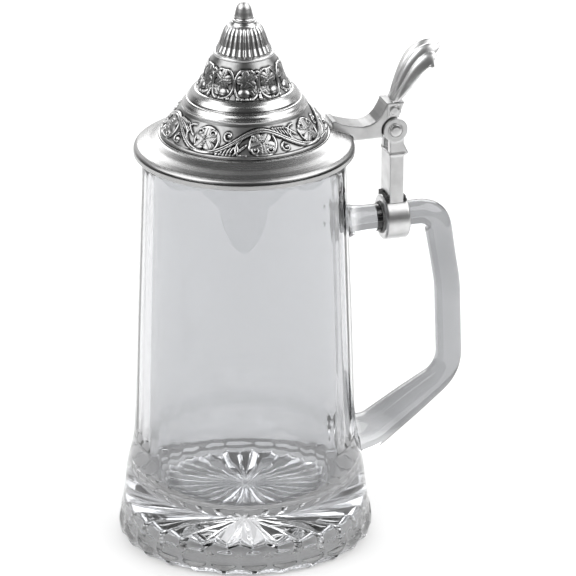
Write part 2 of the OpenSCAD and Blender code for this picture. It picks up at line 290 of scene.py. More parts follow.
def turned_pewter(name, tone=0.52, rough=0.2, stretch=0.6, rings_depth=0.06):
    """Lathe-turned pewter: fine rings, and a satin that stretches across them."""
    s = Shader(name)
    rings = s.noise(1.0, 2, 0.5, s.round_coordinates(1900, 0.05))
    broad = s.noise(60, 3)
    s.link(s.ramp(broad, [(0.3, grey(tone * 0.9)), (0.7, grey(tone * 1.06, 0.004))]),
           s.surface.inputs["Base Color"])
    s.link(s.math("ADD", s.span(rings, -0.05, 0.07), s.span(broad, rough - 0.02, rough + 0.04)),
           s.surface.inputs["Roughness"])
    s.link(s.bump(rings, rings_depth, 0.00003), s.surface.inputs["Normal"])
    s.set(Metallic=1.0, Anisotropic=stretch)
    tangent = s.add("Tangent", direction_type="RADIAL", axis="Z")
    s.link(tangent.outputs[0], s.surface.inputs["Tangent"])
    return s.material


def cast_pewter(name, tone, rough, top_shade=1.0):
    """Cast and bead-blasted pewter: pale, matt, with a fine skin and rubbed spots.

    Faces that look up are darkened by top_shade: painted shade."""
    s = Shader(name)
    skin = s.noise(2600, 4, 0.65)
    worn = s.noise(170, 3)
    # painted shade: faces that look up are darkened
    facing = s.add("SeparateXYZ")
    s.link(s.add("TexCoord").outputs["Normal"], facing.inputs[0])
    shade = s.span(facing.outputs[2], 1.0, top_shade, (0.2, 0.7))
    painted_top_shade = s.add("VectorMath", operation="SCALE")
    s.link(s.ramp(worn, [(0.32, grey(tone * 0.86)), (0.66, grey(tone))]), painted_top_shade.inputs[0])
    s.link(shade, painted_top_shade.inputs["Scale"])
    s.link(painted_top_shade.outputs[0], s.surface.inputs["Base Color"])
    s.link(s.math("ADD", s.span(skin, -0.05, 0.06), s.span(worn, rough + 0.05, rough - 0.06)),
           s.surface.inputs["Roughness"])
    s.link(s.bump(skin, 0.3, 0.00005), s.surface.inputs["Normal"])
    s.set(Metallic=1.0)
    return s.material


def relief_pewter(name, low, mid, high, rough):
    """Relief darker in the hollows and lighter on the high spots: patina and rubbing, and also painted shade
    and painted highlight.
    """
    s = Shader(name)
    relief = s.add("Attribute", attribute_name="relief").outputs["Fac"]
    blotch = s.span(s.noise(420, 4, 0.6), -0.08, 0.08)
    mask = s.math("ADD", relief, blotch)
    s.link(s.ramp(mask, [(0.12, grey(low)), (0.36, grey(mid)), (0.55, grey(0.5)), (0.85, grey(high))]),
           s.surface.inputs["Base Color"])
    s.link(s.span(mask, rough + 0.14, rough, (0.1, 0.7)), s.surface.inputs["Roughness"])
    s.link(s.bump(s.noise(2400, 3, 0.6), 0.25, 0.00004), s.surface.inputs["Normal"])
    s.set(Metallic=1.0)
    return s.material


# the handle lies outside the body's wall and above the foot; the grey tints are painted shade of a grey
# backdrop seen through the glass, stronger in the handle
HANDLE_FROM_R_M = (0.0465, 0.0495)
HANDLE_FROM_Z_M = (0.034, 0.039)
BODY_SHADE_TINT = [(0.3, (0.65, 0.656, 0.668)), (0.7, (0.668, 0.674, 0.686))]
HANDLE_SHADE_TINT = [(0.3, (0.28, 0.285, 0.294)), (0.7, (0.37, 0.375, 0.385))]
SHADOW_TINT = 0.64


def clear_glass(name):
    """Soda glass: a grey body colour that is painted shade of a grey backdrop seen through it, and a barely
    uneven, fire-polished skin.
    """
    s = Shader(name)
    ripple = s.noise(28, 2, 0.4)
    x, y, z = s.xyz()
    in_handle = s.math("MULTIPLY", s.span(s.radius(x, y), 0, 1, HANDLE_FROM_R_M),
                       s.span(z, 0, 1, HANDLE_FROM_Z_M))
    # grey tint: painted shade seen through the glass, darker in the handle
    tint = s.add("Mix", data_type="RGBA")
    s.link(in_handle, tint.inputs["Factor"])
    s.link(s.ramp(s.noise(12, 2), BODY_SHADE_TINT), tint.inputs[6])
    s.link(s.ramp(s.noise(40, 3), HANDLE_SHADE_TINT), tint.inputs[7])
    s.link(tint.outputs[2], s.surface.inputs["Base Color"])
    s.link(s.span(s.noise(90, 3), 0.0, 0.012), s.surface.inputs["Roughness"])
    s.link(s.bump(ripple, 0.12, 0.0006), s.surface.inputs["Normal"])
    s.set(IOR=1.5, Transmission_Weight=1.0)
    # light reaches the table through the glass
    through = s.add("BsdfTransparent")
    through.inputs["Color"].default_value = (SHADOW_TINT, SHADOW_TINT, SHADOW_TINT, 1)
    path = s.add("LightPath")
    mix = s.add("MixShader")
    s.link(s.math("MAXIMUM", path.outputs["Is Shadow Ray"], path.outputs["Is Diffuse Ray"]), mix.inputs[0])
    s.link(s.surface.outputs[0], mix.inputs[1])
    s.link(through.outputs[0], mix.inputs[2])
    s.link(mix.outputs[0], s.tree.nodes["Material Output"].inputs["Surface"])
    return s.material


def joint_filler(name, tone, metal):
    """Cement or tarnished solder: rough and lumpy."""
    s = Shader(name)
    lumps = s.noise(900, 4, 0.6)
    s.link(s.ramp(lumps, [(0.3, grey(tone * 0.5)), (0.75, grey(tone * 3))]), s.surface.inputs["Base Color"])
    s.link(s.span(lumps, 0.45, 0.8), s.surface.inputs["Roughness"])
    s.link(s.bump(lumps, 0.8, 0.0002), s.surface.inputs["Normal"])
    s.set(Metallic=metal)
    return s.material


def pale_floor(name):
    """The table: matt, nearly white, and lit a little from within so that it stays pale in the shade."""
    s = Shader(name)
    s.link(s.ramp(s.noise(3, 2), [(0.3, grey(0.93)), (0.7, grey(0.96))]), s.surface.inputs["Base Color"])
    s.set(Roughness=0.75, Specular_IOR_Level=0.2, Emission_Color=(1, 1, 1, 1), Emission_Strength=0.05)
    return s.material


GLASS = clear_glass("glass")
TURNED = turned_pewter("pewter_turned", 0.46)
SATIN = turned_pewter("pewter_satin", 0.42, 0.25, 0.75, 0.04)
KNOB = turned_pewter("pewter_knob", 0.6, 0.38, 0.3, 0.04)
CAST = cast_pewter("pewter_cast", 0.68, 0.36)
RELIEF = relief_pewter("pewter_relief", 0.02, 0.27, 0.72, 0.26)
FLUTED = relief_pewter("pewter_fluted", 0.03, 0.22, 0.66, 0.28)
# the strap's upward faces carry painted shade
STRAP = cast_pewter("pewter_strap", 0.68, 0.36, 0.32)
STEEL = cast_pewter("pin_steel", 0.66, 0.3)
LIFT = cast_pewter("pewter_lift", 0.74, 0.38)
DARK = joint_filler("dark_joint", 0.05, 0.5)
BEDDING = joint_filler("bedding", 0.24, 0.0)
FLOOR = pale_floor("floor")

# ------------------------------------------------------------------ glass mug

# foot, and the olive cuts round it
FOOT_R = 53.3
CUTS = 26
CUT_TURN = math.radians(-5.6)
CUT_DEPTH = 1.5
CUT_HALF = 5.9
CUT_RISE = 3.5
CUT_Z = 7.1
CUT_TOP = 12.5
FLARE_TOP = 47

# facets on the lower edge, between the cuts
FACET_DEPTH = 1.1
FACET_HALF = 5.6
FACET_RISE = 2.7
FACET_Z = 1.0

# recess with the star; the rays open out from the middle and run out on the recess wall
STAR_Z = 9.2
STAR_R = 38.3
RAY_DEPTH = 2.9
RAY_START_R = 2
RAY_END_Z = 5.2
RAY_RUN_OUT = 2.6
RECESS_R = 42.5
RECESS_CURVE = 4.2

# inside
FLOOR_Z = 19.0
FLOOR_CURVE = 13.0
INNER_LOW = 41.2
INNER_RIM = 38.4
INNER_RIM_Z = 165.0
WAVE_SIZE = 0.025
WAVE_LOW = FLOOR_Z + 6
WAVE_HIGH = 160

# height of the handle's upper bar
BAR_Z = 132.4


def mug_outline():
    """Half section of the glass: up the recess's middle, out over the foot, up the wall and down the inside.

    Returns the points, the number of points up to the foot and the number up to the rim."""
    under = [(r, STAR_Z) for r in np.linspace(0, STAR_R, 18)]
    under += [(STAR_R + RECESS_CURVE * math.sin(a), STAR_Z - RECESS_CURVE * (1 - math.cos(a)))
              for a in np.linspace(0.12, math.pi / 2, 12)]
    under += [(RECESS_R, 3.4), (RECESS_R, 1.8), (RECESS_R + 0.1, 0.6), (RECESS_R + 0.5, 0.1),
              (RECESS_R + 1.2, 0.0), (47.0, 0.0), (50.4, 0.0)]
    foot = spline([(51.6, 0.1), (52.6, 0.9), (53.05, 2.0), (53.2, 3.4), (53.15, 5.4), (52.9, 7.5),
                   (52.2, 11.0), (51.4, 14.5), (50.6, 21), (49.9, 27), (48.9, 32.5), (47.6, 38),
                   (46.75, 43), (46.35, 47), (46.1, 52), (45.75, 60), (44.9, 88), (43.7, 121),
                   (42.4, 154), (42.05, 163.5)], 5)
    foot = refine(foot, 0.4, closed=False)
    # close rows where the cuts are, wider ones up the flare and the wall
    keep = [0]
    for i in range(1, len(foot)):
        reach = 0.4 if foot[i][1] < CUT_TOP else 1.6 if foot[i][1] < FLARE_TOP else 5.0
        if np.linalg.norm(foot[i] - foot[keep[-1]]) >= reach:
            keep.append(i)
    rim = [(42.0, 165.2), (41.9, 166.1), (41.5, 166.9), (40.9, 167.3), (40.2, 167.4), (39.5, 167.3),
           (38.9, 166.9), (38.5, 166.1), (INNER_RIM, INNER_RIM_Z)]
    floor_r = INNER_LOW - FLOOR_CURVE
    curve_top = FLOOR_Z + FLOOR_CURVE
    wall = [(INNER_RIM + (INNER_LOW - INNER_RIM) * f, INNER_RIM_Z - (INNER_RIM_Z - curve_top) * f)
            for f in np.linspace(0.05, 1, 18)]
    bend = [(floor_r + FLOOR_CURVE * math.cos(a), curve_top - FLOOR_CURVE * math.sin(a))
            for a in np.linspace(0.08, math.pi / 2 - 0.05, 20)]
    inside = [(r, FLOOR_Z) for r in (floor_r - 0.5, 22, 16, 9, 3, 0)]
    points = np.array(under + [tuple(foot[i]) for i in keep] + rim + wall + bend + inside, float)
    return points, len(under), len(under) + len(keep)


def mug_points(cols):
    """The turned glass with the olive cuts round the foot, the star underneath and a wavy inside wall."""
    outline, foot_at, rim_at = mug_outline()
    turn = np.arange(cols) / cols * TAU
    step = TAU / CUTS
    from_cut = (turn - CUT_TURN + step / 2) % step - step / 2
    from_ray = (turn - CUT_TURN) % step - step / 2
    rng = np.random.default_rng(3)
    waves = sum(rng.uniform(0.4, 1) * np.sin(k * turn + rng.uniform(0, TAU)) for k in (7, 11, 17, 26, 41))
    lift = np.zeros((len(outline), cols))
    for i, (r, z) in enumerate(outline):
        if i < foot_at and r > RAY_START_R:
            half = r * step / 2
            open_out = min(1, (r - RAY_START_R) / 4) * np.clip((z - RAY_END_Z) / RAY_RUN_OUT, 0, 1)
            across = np.abs(r * np.sin(from_ray)) / (half * 0.96)
            lift[i] = -RAY_DEPTH * (r / STAR_R) ** 0.8 * open_out * np.clip(1 - across ** 1.1, 0, 1)
        if foot_at <= i < rim_at and z < CUT_TOP:
            edge = np.abs(FOOT_R * from_cut / CUT_HALF) ** 2.8 + abs((z - CUT_Z) / CUT_RISE) ** 2.8
            facet = (FOOT_R * from_ray / FACET_HALF) ** 2 + ((z - FACET_Z) / FACET_RISE) ** 2
            lift[i] = -CUT_DEPTH * np.clip(1 - edge, 0, 1) ** 0.6 - FACET_DEPTH * np.clip(1 - facet, 0, 1)
        if i >= rim_at and WAVE_LOW < z < WAVE_HIGH:
            lift[i] = WAVE_SIZE * waves * min(1, (z - WAVE_LOW) / 20)
    return revolve(outline, cols, lift)


def tube(name, path, radii, around=64):
    """A closed round rod along a path in the XZ plane."""
    along = np.gradient(path, axis=0)
    along /= np.linalg.norm(along, axis=1, keepdims=True)
    turn = np.arange(around) / around * TAU
    rings = []
    for (x, z), (tx, tz), radius in zip(path, along, radii):
        over = radius * np.cos(turn)
        rings.append(np.stack([x - tz * over, radius * np.sin(turn), z + tx * over], -1))
    first = np.tile([path[0][0], 0, path[0][1]], (1, around, 1))
    last = np.tile([path[-1][0], 0, path[-1][1]], (1, around, 1))
    return weld(grid_mesh(name, np.concatenate([first, np.array(rings), last])))


def handle_mesh():
    """The handle: a bent rod, thicker where it meets the body."""
    corners = [(41.0, BAR_Z, 0), (83.3, BAR_Z, 9), (88.6, 100, 60), (89.9, 60.4, 17), (54.5, 36.1, 14),
               (45.5, 35.0, 0)]
    path = refine(fillet(corners, closed=False, steps=16), 0.9, closed=False)
    run = np.concatenate([[0], np.cumsum(np.linalg.norm(np.diff(path, axis=0), axis=1))])
    end = run[-1]
    # distance along the rod, and its radius there
    stations = [(0, 9.2), (1.6, 8.6), (3.2, 7.6), (5.5, 6.5), (8.5, 5.95), (12, 5.8), (42, 5.8), (60, 5.5),
                (104, 5.5), (118, 5.8), (end - 30, 7.0), (end - 12, 8.0), (end - 5, 8.6), (end - 2.5, 9.2),
                (end, 10.0)]
    at, size = np.array(stations).T
    return tube("handle", path, np.interp(run, at, size))


def evaluated(obj, name):
    """The mesh of an object with its modifiers applied; the object itself is removed."""
    graph = bpy.context.evaluated_depsgraph_get()
    mesh = bpy.data.meshes.new_from_object(obj.evaluated_get(graph))
    mesh.name = name
    bpy.data.objects.remove(obj)
    return mesh


def working(name, mesh):
    """An object that only carries modifiers until its mesh is taken."""
    obj = bpy.data.objects.new(name, mesh)
    bpy.context.scene.collection.objects.link(obj)
    return obj


def build_mug():
    """The body and its handle, joined into one piece of glass."""
    body = working("mug_blank", weld(grid_mesh("mug_blank", mug_points(CUTS * 24))))
    handle = working("handle_blank", handle_mesh())
    join = body.modifiers.new("join", "BOOLEAN")
    join.operation = "UNION"
    join.solver = "MANIFOLD"
    join.object = handle
    mesh = evaluated(body, "mug_glass")
    bpy.data.objects.remove(handle)
    finish_mesh("mug_glass", mesh, "mug", ("glass_body", "glass_handle"), GLASS)


# ------------------------------------------------------------------ relief

class Relief:
    """A height field over the unrolled band: s round it, t up it, both in millimetres."""

    def __init__(self, s, t, period):
        self.s, self.t, self.period = s, t, period
        self.height = np.zeros(np.broadcast(s, t).shape)

    def wrap(self, s0):
        return (self.s - s0 + self.period / 2) % self.period - self.period / 2

    def line(self, points, half, height):
        """A round ridge along a curve; half is its half width, one number or one for each point."""
        points = np.array(points, float)
        half = np.broadcast_to(np.array(half, float), (len(points),))
        middle = points[:, 0].mean()
        s = self.wrap(middle) + middle
        nearest = np.full(self.height.shape, 9.0)
        for (a, b, ha, hb) in zip(points[:-1], points[1:], half[:-1], half[1:]):
            ds, dt = b - a
            f = np.clip(((s - a[0]) * ds + (self.t - a[1]) * dt) / (ds * ds + dt * dt + 1e-9), 0, 1)
            away = np.hypot(s - a[0] - f * ds, self.t - a[1] - f * dt)
            nearest = np.minimum(nearest, away / (ha + (hb - ha) * f))
        self.raise_to(nearest, height)

    def line_parts(self, along, up, half, height, size=9):
        """A long ridge, drawn a few points at a time so that each part stays within one period."""
        points = np.stack([along, up], -1)
        for i in range(0, len(points) - 1, size):
            self.line(points[i:i + size + 1], half, height)

    def blob(self, s0, t0, a, b, height, lean=0.0):
        """An oval bump, leaning by an angle in degrees."""
        c, w = math.cos(math.radians(lean)), math.sin(math.radians(lean))
        s, t = self.wrap(s0), self.t - t0
        self.raise_to(np.hypot((s * c + t * w) / a, (t * c - s * w) / b), height)

    def leaf(self, s0, t0, size, height, lobes, point=90.0):
        """A lobed leaf with a vein down each lobe."""
        s, t = self.wrap(s0), self.t - t0
        rho, phi = np.hypot(s, t), np.arctan2(t, s) - math.radians(point)
        edge = size * (0.6 + 0.4 * np.abs(np.cos(phi * lobes / 2)) ** 0.7)
        dome = np.sqrt(np.clip(1 - (rho / edge) ** 2, 0, 1))
        lobe_at = np.round(phi * lobes / TAU) * TAU / lobes
        across = rho * np.sin(phi - lobe_at)
        vein = 0.15 * np.exp(-(across / 0.2) ** 2) * (rho < edge * 0.86)
        side = 0.08 * np.abs(np.sin(rho * 3.1 + np.abs(across) * 2.4))
        self.height = np.maximum(self.height, height * dome ** 0.7 * (1 - vein - side))

    def raise_to(self, away, height):
        bump = height * np.sqrt(np.clip(1 - away ** 2, 0, 1))
        self.height = np.maximum(self.height, bump)


def blurred(height, reach):
    """A height field averaged over a square of cells; the columns join up round the band."""
    sides = range(-reach, reach + 1)
    padded = np.pad(height, ((reach, reach), (0, 0)), mode="edge")
    rows = sum(padded[reach + k:len(padded) - reach + k] for k in sides) / len(sides)
    return sum(np.roll(rows, k, 1) for k in sides) / len(sides)


def curl(s0, t0, r0, r1, a0, a1, count=26):
    """Points of a spiral about a centre, from radius r0 at angle a0 to r1 at a1."""
    f = np.linspace(0, 1, count)
    a = np.radians(a0 + (a1 - a0) * f)
    r = r0 + (r1 - r0) * f
    return np.stack([s0 + r * np.cos(a), t0 + r * np.sin(a)], -1)


# radius at which each band is unrolled, how often it repeats and where it starts
LOW_R = 29.9
LOW_CELLS = 8
LOW_TURN = math.radians(-138)
HIGH_R = 16.3
HIGH_CELLS = 10
HIGH_TURN = math.radians(-103)

# patina and painted shade: the value inside the shells, and on plain mouldings
BACK_SHADE = 0.4
PLAIN_SHADE = 0.75


def vine_band(angle, t, length):
    """The lower band: a waving stem with a leaf in every bend, curls and small drop-shaped leaflets."""
    period = TAU * LOW_R / (LOW_CELLS / 2)
    relief = Relief(((angle - LOW_TURN) * LOW_R) % period, t, period)
    mid = 8.0
    for side, start in ((1, 0.0), (-1, period / 2)):
        def at(points):
            points = np.array(points, float)
            return np.stack([start + points[:, 0], mid + side * (points[:, 1] - mid)], -1)

        def flip(t0):
            return mid + side * (t0 - mid)

        # a ring round a leaf, with two curls and a column of seeds on it
        ring = curl(0.2, 8.4, 6.1, 4.9, -112, 222)
        relief.line(at(ring), np.linspace(0.75, 0.4, len(ring)), 0.6)
        relief.blob(start + ring[-1][0], flip(ring[-1][1]), 0.85, 0.85, 0.9)
        relief.leaf(start + 0.1, flip(8.5), 5.9, 1.0, 5, 90 * side)
        for ds in (-2.7, 2.8):
            first, last = (200, -160) if ds < 0 else (-20, 340)
            relief.line(at(curl(ds, 11.1, 1.6, 0.4, first, last)), 0.38, 1.15)
        for row in range(5):
            for ds in (-0.5, 0.5):
                relief.blob(start + ds, flip(5.6 + row * 1.0), 0.36, 0.36, 1.3)
        # a curl between the rings, and leaflets along the stem
        relief.line(at(curl(10.0, 11.0, 2.3, 0.5, 250, -80)), np.linspace(0.5, 0.28, 26), 0.7)
        relief.blob(start + 10.0, flip(11.0), 0.75, 0.75, 0.95)
        sweep = spline([(15.2, 9.6), (13.6, 7.4), (13.0, 5.0), (14.2, 3.0), (17.0, 2.4)], 6)
        relief.line(at(sweep), np.linspace(0.6, 0.3, len(sweep)), 0.65)
        for k in range(5):
            relief.blob(start + 6.6 + 1.3 * k, flip(3.8 + 0.35 * k), 0.5, 1.9, 0.7, -26 * side)
            relief.blob(start + 6.0 + 1.3 * k, flip(2.6 + 0.1 * k), 0.58, 0.58, 0.95)
        for k in range(4):
            relief.blob(start - 7.4 - 0.9 * k, flip(9.6 + 0.8 * k), 0.5, 1.9, 0.7, 50 * side)
        relief.line(at(spline([(-7.8, 5.4), (-10.0, 7.6), (-9.4, 10.9)], 6)), 0.4, 0.6)
    wave = np.linspace(0, period, 90)
    stem = mid - 5.2 * np.cos(wave / period * TAU)
    for offset in (-0.5, 0.5):
        relief.line_parts(wave, stem + offset, 0.5, 0.9)
    fade = np.clip(np.minimum(t - 1.9, length - 0.9 - t) / 0.5, 0, 1)
    return relief.height * fade


def medallion_band(angle, t, length):
    """The upper band: oval scrolls, each round a leaf and a large berry, mirrored in turn."""
    period = TAU * HIGH_R / (HIGH_CELLS / 2)
    relief = Relief(((angle - HIGH_TURN) * HIGH_R) % period, t, period)
    for side, start in ((1, 0.0), (-1, period / 2)):
        oval = curl(0, 0, 1, 1, -70, 275, 40) * (4.95, 6.5) + (0, 6.9)
        oval[:, 0] = start + side * oval[:, 0]
        relief.line(oval, np.linspace(0.8, 0.5, len(oval)), 0.65)
        relief.leaf(start + side * 0.3, 8.8, 4.7, 0.85, 5, 90 + side * 14)
        relief.leaf(start + side * 2.3, 4.6, 2.9, 0.75, 3, 60)
        relief.blob(start - side * 1.1, 3.4, 2.4, 2.2, 1.25)
        stalk = [(start + side * 5.0, 1.0), (start + side * 5.2, 2.4), (start + side * 5.0, 3.6)]
        relief.line(stalk, 0.6, 0.9)
        relief.line(curl(start + side * 4.9, 11.2, 1.7, 0.4, 250, -90), 0.4, 0.8)
        for k in range(4):
            relief.blob(start + side * (-3.2 + 1.6 * k), 0.8, 0.7, 1.0, 0.7, 12 * side)
    fade = np.clip(np.minimum(t - 0.25, length - 3.0 - t) / 0.4, 0, 1)
    return relief.height * fade


def relief_band(name, outer, inner, band, cols, node):
    """A turned shell whose outside carries a relief."""
    face = refine(fillet(outer, closed=False), 0.21, closed=False)
    run = np.concatenate([[0], np.cumsum(np.linalg.norm(np.diff(face, axis=0), axis=1))])
    angle = np.arange(cols) / cols * TAU
    height = band(angle[None, :], run[:, None], run[-1])
    back = refine(np.array(inner, float), 3.0, closed=False)
    lift = np.vstack([height, np.zeros((len(back), cols))])
    points = revolve(np.vstack([face, back]), cols, lift)
    # high spots stand above the average round them, hollows below it; the value is patina and painted shade
    # in the hollows, rubbing and painted highlight on the high spots
    shade = np.vstack([0.39 + 1.5 * (height - blurred(height, 5)), np.full((len(back), cols), BACK_SHADE)])
    mesh = grid_mesh(name, points, close_rows=True, values=shade)
    return finish_mesh(name, mesh, "lid", (node,), RELIEF)


# ------------------------------------------------------------------ turned lid

def build_lid():
    """The lid from the brim up to the knob."""
    lathe("lid_brim_plate", [
        (37.8, 165.6, 0.25), (37.8, 167.8, 0.2), (44.0, 167.8, 0.2), (44.0, 172.02, 0.05),
        (41.6, 173.15, 8), (39.0, 174.2, 10), (36.2, 175.75, 2), (35.2, 176.2, 0.3), (35.2, 176.7, 0.2),
        (32.2, 176.7, 0.2), (32.2, 172.4, 1), (36.2, 167.2, 0.8), (36.2, 165.6, 0.3)],
        "lid_brim", SATIN, 320, 0.8)
    lathe("lid_brim_bead", [
        (44.03, 168.0, 0.1), (45.2, 167.8, 0.25), (45.5, 168.3, 0.4), (45.55, 170.0, 1.6),
        (45.1, 171.2, 1.6), (44.03, 172.0, 0.05)],
        "brim_bead", SATIN, 320, 0.5)
    relief_band("frieze_vine", [
        (34.0, 176.6, 0.2), (34.55, 176.9, 0.4), (34.6, 177.6, 0.4), (34.1, 178.2, 0.4), (33.3, 178.2, 0.3),
        (32.9, 178.6, 0.4), (29.8, 182.7, 8), (26.1, 187.9, 0.6), (25.7, 188.9, 0.2), (25.2, 189.1, 0)],
        [(23.6, 189.0), (27.9, 182.2), (32.2, 176.6)], vine_band, 1400, "lower_frieze")
    lathe("lid_cornice_turned", [
        (23.4, 189.0, 0.2), (25.6, 189.0, 0.2), (25.65, 189.7, 0.3), (25.0, 190.2, 0.4), (24.5, 191.2, 1.5),
        (23.9, 191.9, 0.2), (23.7, 192.4, 0.25), (23.2, 192.5, 0.2), (22.9, 193.3, 0.8), (21.9, 195.0, 2.5),
        (20.3, 196.3, 1.5), (19.6, 196.6, 0.2), (19.4, 196.3, 0.2), (18.8, 196.6, 0.2), (17.2, 196.0, 0.4),
        (18.8, 194.4, 0.4)],
        "lid_cornice", TURNED, 288, 0.6)
    relief_band("frieze_medallions", [
        (19.2, 196.4, 0.1), (19.0, 197.0, 0.4), (17.5, 198.5, 2), (16.35, 200.8, 4), (15.2, 204.4, 6),
        (14.0, 207.8, 4), (12.7, 209.9, 1.5), (12.1, 210.8, 0)],
        [(10.1, 210.8), (12.4, 207.0), (13.6, 203.6), (14.8, 199.6), (16.8, 196.4)], medallion_band, 1000,
        "upper_frieze")
    build_flutes()
    lathe("finial_ring", [
        (2.1, 224.8, 0), (4.5, 224.8, 0.2), (4.9, 225.2, 0.3), (5.1, 225.7, 0.15), (4.9, 225.9, 0.15),
        (4.3, 225.8, 0.4), (3.9, 226.3, 0.1), (2.1, 226.3, 0)],
        "finial_collar", TURNED, 160, 0.3)
    lathe("finial_knob_turned", [
        (0, 233.0, 0), (0.9, 232.86, 0.6), (1.55, 232.5, 0.6), (2.14, 231.9, 0.6), (2.65, 231.2, 0.8),
        (3.0, 230.4, 1), (3.4, 229.0, 1.5), (3.75, 227.4, 1.5), (3.98, 226.7, 0.3), (3.7, 226.25, 0.2),
        (2.05, 226.25, 0.1), (2.05, 230.0, 0), (0, 230.0, 0)],
        "finial_knob", KNOB, 160, 0.25)


FLUTES = 24
FLUTE_LOW = 211.9
FLUTE_HIGH = 223.3


def build_flutes():
    """The fluted dome: round ribs that start under the neck and run out on the rim."""
    outer = [(12.0, 210.7, 0.1), (12.5, 211.0, 0.3), (12.65, 211.6, 0.3), (12.2, 212.0, 0.2),
             (11.5, FLUTE_LOW, 0.4), (10.9, 213.0, 0.8), (9.75, 215.4, 3), (8.85, 218.2, 6), (7.85, 220.8, 4),
             (6.7, 222.9, 1.5), (5.4, 223.9, 1.2), (5.0, 224.8, 0)]
    face = refine(fillet(outer, closed=False), 0.2, closed=False)
    cols = FLUTES * 26
    turn = np.arange(cols) / cols * TAU
    rib = (turn * FLUTES / TAU) % 1 * 2 - 1
    shape = np.sqrt(np.clip(1 - rib ** 2 * 0.97, 0, 1))
    r, z = face.T
    size = np.clip((z - FLUTE_LOW) / 0.8, 0, 1) * np.clip((FLUTE_HIGH - z) / 1.4, 0, 1) ** 0.6
    size = np.where((z > FLUTE_LOW) & (r < 11.9), size * (0.35 + 0.04 * r), 0)
    height = size[:, None] * (shape[None, :] - 0.35)
    back = np.array([(2.1, 224.8), (2.1, 222.6), (6.0, 219.6), (8.1, 214), (10.1, 210.8)])
    lift = np.vstack([height, np.zeros((len(back), cols))])
    points = revolve(np.vstack([face, back]), cols, lift)
    # rib tops lighter and grooves darker: patina with painted shade and painted highlight
    shade = np.vstack([0.45 + height, np.full((len(back), cols), BACK_SHADE)])
    shade[:len(face)][size < 0.05] = PLAIN_SHADE
    mesh = grid_mesh("dome_fluted", points, close_rows=True, values=shade)
    finish_mesh("dome_fluted", mesh, "lid", ("fluted_cap",), FLUTED)


# ------------------------------------------------------------------ cast hinge

COLLAR_R = 9.6
STRAP_HALF = 5.2
PANEL_RISE = 0.3


def block(bm, x0, x1, y0, y1, z0, z1):
    """A box in millimetres added to a bmesh."""
    made = bmesh.ops.create_cube(bm, size=1.0)["verts"]
    for v in made:
        v.co = Vector(((x0 + (v.co.x + 0.5) * (x1 - x0)) * MM,
                       (y0 + (v.co.y + 0.5) * (y1 - y0)) * MM,
                       (z0 + (v.co.z + 0.5) * (z1 - z0)) * MM))


def disc(bm, x, y, z, radius, depth):
    """A round boss along Y added to a bmesh."""
    made = bmesh.ops.create_cone(bm, cap_ends=True, segments=40, radius1=radius * MM, radius2=radius * MM,
                                 depth=depth * MM)["verts"]
    for v in made:
        v.co = Vector((v.co.x + x * MM, v.co.z + y * MM, v.co.y + z * MM))


def softened(name, node, body, material, source=None, voxel=0.22, rounds=5, extra=None):
    """A cast piece: its CAD shape or the source, with any small bosses added, remade with rounded edges."""
    bm = bmesh.new()
    bm.from_mesh(frame["nodes"][node].data if source is None else source)
    if extra:
        extra(bm)
    mesh = bpy.data.meshes.new(name)
    bm.to_mesh(mesh)
    bm.free()
    obj = working(name + "_work", mesh)
    remesh = obj.modifiers.new("remesh", "REMESH")
    remesh.mode = "VOXEL"
    remesh.voxel_size = voxel * MM
    smooth = obj.modifiers.new("smooth", "SMOOTH")
    smooth.iterations = rounds
    smooth.factor = 0.5
    return finish_mesh(name, evaluated(obj, name), body, (node,), material)


def strap_details(bm):
    """A small framed panel with a boss on each side, under the lift."""
    for side in (-1, 1):
        face = side * STRAP_HALF
        near, far = sorted((face, face + side * PANEL_RISE))
        bars = ((60.1, 67.2, 183.4, 184.1), (60.1, 60.8, 178.0, 184.1), (65.3, 66.0, 179.6, 184.1))
        for x0, x1, z0, z1 in bars:
            block(bm, x0, x1, near, far, z0, z1)
        disc(bm, 63.1, face, 180.9, 1.7, 0.8)


def lumps(bm):
    """Small blobs of tarnished solder along both ends of a bead."""
    rng = np.random.default_rng(7)
    low = np.min([v.co[:] for v in bm.verts], 0)
    high = np.max([v.co[:] for v in bm.verts], 0)
    for y in np.linspace(low[1], high[1], 9):
        top = math.sqrt(max((COLLAR_R * MM) ** 2 - y * y, 0)) + BAR_Z * MM
        size = rng.uniform(0.6, 1.15) * MM
        made = bmesh.ops.create_icosphere(bm, subdivisions=3, radius=size)["verts"]
        x = (low[0] + high[0]) / 2 + rng.uniform(-0.2, 0.2) * MM
        centre = Vector((x, y, top + rng.uniform(0.1, 0.9) * MM))
        for v in made:
            v.co += centre


LIFT_ROOT = (62.8, 184.2)
LIFT_LEN = 37.0
LIFT_HALF = 9.9
LIFT_ROOT_HALF = 5.1
LIFT_THICK = 2.4
LIFT_DROOP = 8.2
LIFT_GROOVE = 1.1
LOBES = 5


def lift_heading(u):
    """Direction of the lift's ridge, in radians, at fraction u of its length."""
    return np.radians(72 + 18 * (1 - u) ** 12 - 117.5 * u ** 3.2)


